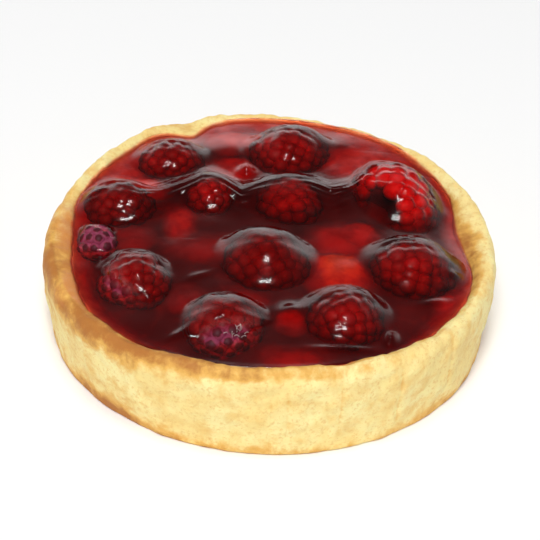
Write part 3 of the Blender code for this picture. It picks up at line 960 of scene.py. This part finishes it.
# What lies under the jelly: place, half sizes, depth of its top, and its colour.
SUNK = (
    (15.0, -10.5, 6.2, 7.2, 1.5, (0.62, 0.38, 0.04)),       # a piece of peach
    (15.5, 1.5, 6.5, 5.5, 2.8, (0.46, 0.10, 0.04)),
    (22.0, 32.0, 11.0, 9.0, 2.0, (0.50, 0.18, 0.05)),
    (-9.0, 38.5, 8.0, 4.0, 1.7, (0.60, 0.20, 0.06)),
    (-9.5, 26.0, 5.5, 5.5, 2.2, (0.52, 0.10, 0.05)),
    (-37.0, 21.0, 6.5, 8.0, 1.8, (0.52, 0.22, 0.05)),
    (-29.5, 17.0, 4.5, 4.0, 1.8, (0.62, 0.20, 0.04)),
    (-20.5, 4.5, 3.2, 6.0, 2.5, (0.54, 0.20, 0.04)),
    (-15.0, -4.0, 7.5, 4.5, 3.4, (0.30, 0.05, 0.03)),
    (5.0, -28.0, 3.4, 3.2, 2.3, (0.40, 0.03, 0.03)),        # a currant
    (6.0, -40.5, 6.0, 4.0, 3.0, (0.42, 0.06, 0.03)),
    (39.5, -22.0, 4.0, 9.0, 2.4, (0.48, 0.13, 0.05)),
    (-5.0, -21.0, 5.0, 3.5, 3.8, (0.36, 0.04, 0.03)),
    (-31.0, -1.5, 5.0, 5.0, 3.6, (0.34, 0.03, 0.03)),
    (20.0, 4.0, 4.0, 4.0, 2.2, (0.44, 0.06, 0.03)),         # the lip of the hollow berry
    (-17.0, -22.0, 4.0, 4.0, 4.0, (0.34, 0.04, 0.03)),
)
BED_DEPTH = 4.6
BED_UNEVENNESS = 1.6
BED_COLOUR = (0.10, 0.008, 0.012)
# Where the case slopes in gently under the jelly: angle, half width in degrees, how wide the slope is.
GENTLE_SLOPES = ((150, 40, 6.5), (215, 40, 4.0), (-30, 24, 5.0), (75, 40, 4.0), (10, 20, 4.0))
SLOPE_COLOUR = (0.42, 0.17, 0.06)
SLOPE_DEPTH = 0.5 * MM


def make_fruit_bed(material):
    """The fruit under the jelly: dark pulp, paler pieces near the top, and the foot of the case's slope."""
    steps, rings = 400, 90
    angle = np.linspace(0, TURN, steps, endpoint=False)
    middle = case_centre()
    edge = wetted_level(angle, 1.0) / height_scale(angle) - SLOPE_DEPTH
    radius, _ = case_point(angle, inner_radius(edge), edge, True)
    radius = radius + 0.4 * MM
    shares = np.linspace(1, 0.02, rings)
    x = (shares[:, None] * (radius * np.cos(angle) - middle[0])).ravel()
    y = (shares[:, None] * (radius * np.sin(angle) - middle[1])).ravel()
    around, share = np.tile(angle, rings), np.repeat(shares, steps)
    points = np.stack([x, y, 0 * x], axis=1)
    depth = BED_DEPTH + BED_UNEVENNESS * lumps(points, 9 * MM, 9)
    colours = np.tile(np.array(BED_COLOUR), (len(x), 1))
    for place_x, place_y, half_x, half_y, top, colour in SUNK:
        away = np.hypot((x / MM - place_x) / half_x, (y / MM - place_y) / half_y)
        away = away + 0.18 * lumps(points, 5 * MM, place_x)
        piece_depth = top + 1.2 * np.clip(away, 0, 1.3) ** 2
        nearer = smooth_step(1.5, 0.65, away)
        depth = depth + (piece_depth - depth) * nearer
        colours = colours + (np.array(colour) - colours) * nearer[:, None]
    slope = 1.2 + sum(width * bump(around, place, spread) for place, spread, width in GENTLE_SLOPES)
    wall = (1 - share) * INNER_TOP_RADIUS / MM / slope
    wall_depth = SLOPE_DEPTH / MM + 5.0 * wall
    nearer = smooth_step(1.0, 0.45, wall) * smooth_step(-1.0, 1.0, depth - wall_depth)
    depth = depth + (wall_depth - depth) * nearer
    colours = colours + (np.array(SLOPE_COLOUR) - colours) * nearer[:, None]
    z = wetted_level(around, share) - depth * MM
    bottom = FLOOR_THICKNESS + 0.3 * MM
    low_x = INNER_LOW_RADIUS * np.cos(angle) - middle[0]
    low_y = INNER_LOW_RADIUS * np.sin(angle) - middle[1]
    low_ring = np.stack([low_x, low_y, np.full(steps, bottom)], axis=1)
    points = np.concatenate([low_ring, np.stack([x, y, z], axis=1), [(0, 0, bottom), (0, 0, z[-1])]])
    piece = add_piece("fruit_under_jelly", points, ring_faces(rings + 1, steps, True, True), material)
    dark = np.array([BED_COLOUR])
    give_colours(piece, "flesh", np.concatenate([np.repeat(dark, steps, 0), colours, dark, dark]))
    return piece


# ================================ light, floor and camera ========================================

CAMERA_RISE = 38.65         # degrees above the table
CAMERA_DISTANCE = 0.42
CAMERA_ROLL = 2.8
CAMERA_LENS = 123.1
CAMERA_SHIFT = (0.0039, 0.0739)

# The studio's glow from the level up: place as a share of the way to straight up, and brightness.
BACK_GLOW = [(0.0, 1.5), (0.34, 1.5), (0.55, 0.22), (1.0, 0.08)]
FRONT_GLOW = [(0.0, 0.62), (0.38, 0.50), (0.58, 0.20), (1.0, 0.08)]
# The softboxes: name, rise and turn in degrees, distance, width and depth, power and shape.
SOFTBOXES = (
    ("key_light", 60, -6, 1.6, (0.60, 0.50), 20, "RECTANGLE"),
    ("top_light", 87, -10, 1.6, (0.30, 0.24), 3.4, "ELLIPSE"),
)


def make_camera():
    """The camera, in front of the tart and above it."""
    rise = math.radians(CAMERA_RISE)
    camera = bpy.data.objects.new("camera", bpy.data.cameras.new("camera"))
    camera.data.lens = CAMERA_LENS
    camera.data.sensor_width = 36.0
    camera.data.shift_x, camera.data.shift_y = CAMERA_SHIFT
    camera.data.clip_start = 0.01
    place = Vector((0, -math.cos(rise), math.sin(rise))) * CAMERA_DISTANCE
    roll = Matrix.Rotation(math.radians(CAMERA_ROLL), 3, "Z")
    turn = Euler((math.pi / 2 - rise, 0, 0)).to_matrix() @ roll
    camera.matrix_world = Matrix.Translation(place) @ turn.to_4x4()
    bpy.context.scene.collection.objects.link(camera)
    bpy.context.scene.camera = camera


def make_softbox(name, rise, turn, distance, size, power, shape):
    """A flat lamp that faces the tart, from a rise and a turn in degrees. Turn 0 is the front."""
    lamp = bpy.data.lights.new(name, "AREA")
    lamp.shape = shape
    lamp.size, lamp.size_y = size
    lamp.energy = power
    up, side = math.radians(rise), math.radians(turn)
    place = Vector((math.cos(up) * math.sin(side), -math.cos(up) * math.cos(side), math.sin(up))) * distance
    thing = bpy.data.objects.new(name, lamp)
    thing.matrix_world = Matrix.Translation(place) @ place.to_track_quat("Z", "Y").to_matrix().to_4x4()
    bpy.context.scene.collection.objects.link(thing)


def make_world():
    """A pale studio: a bright backdrop low behind the tart, dimmer sides and front, dark above."""
    world = bpy.data.worlds.new("studio")
    world.use_nodes = True
    world.node_tree.nodes.clear()
    tree = Tree(world.node_tree)
    direction = tree.node("ShaderNodeTexCoord", None, None, "Generated")
    rise = tree.node("ShaderNodeSeparateXYZ", None, {0: direction}, "Z")
    behind = tree.between(tree.node("ShaderNodeSeparateXYZ", None, {0: direction}, "Y"), 0.72, 0.92)
    back, front = [tree.node("ShaderNodeValToRGB", {"stops": stops}, {"Fac": rise}, "Color")
                   for stops in (BACK_GLOW, FRONT_GLOW)]
    glow = tree.blend(behind, front, back)
    shader = tree.node("ShaderNodeBackground", None, {"Color": glow, "Strength": 1.0})
    tree.node("ShaderNodeOutputWorld", None, {"Surface": shader})
    bpy.context.scene.world = world


def make_floor():
    """A plain pale floor."""
    half = 1.5
    corners = [(-half, -half, 0), (half, -half, 0), (half, half, 0), (-half, half, 0)]
    material = plain_material("pale_floor", (0.97, 0.97, 0.97), 0.9)
    floor = add_piece("floor", corners, [(0, 1, 2, 3)], material)


# ================================ all of it ======================================================

def build():
    """The whole tart, its light and its camera."""
    bpy.context.scene.view_settings.view_transform = "Standard"
    make_camera()
    make_world()
    make_floor()
    for softbox in SOFTBOXES:
        make_softbox(*softbox)
    pieces = [make_case(baked_pastry())]
    skin = raspberry_skin()
    group = raspberry_tree()
    for node, turn, dip, size, coat, *_, bright in BERRIES:
        pieces.append(make_raspberry(node, turn, dip, size, coat, bright, group, skin))
    pieces.append(make_hairs(plain_material("dry_hair", (0.62, 0.52, 0.50), 0.5)))
    pieces.append(make_jelly(clear_jelly()))
    pieces.append(make_fruit_bed(sunk_fruit()))
    for piece in pieces:
        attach(piece, "root")


build()
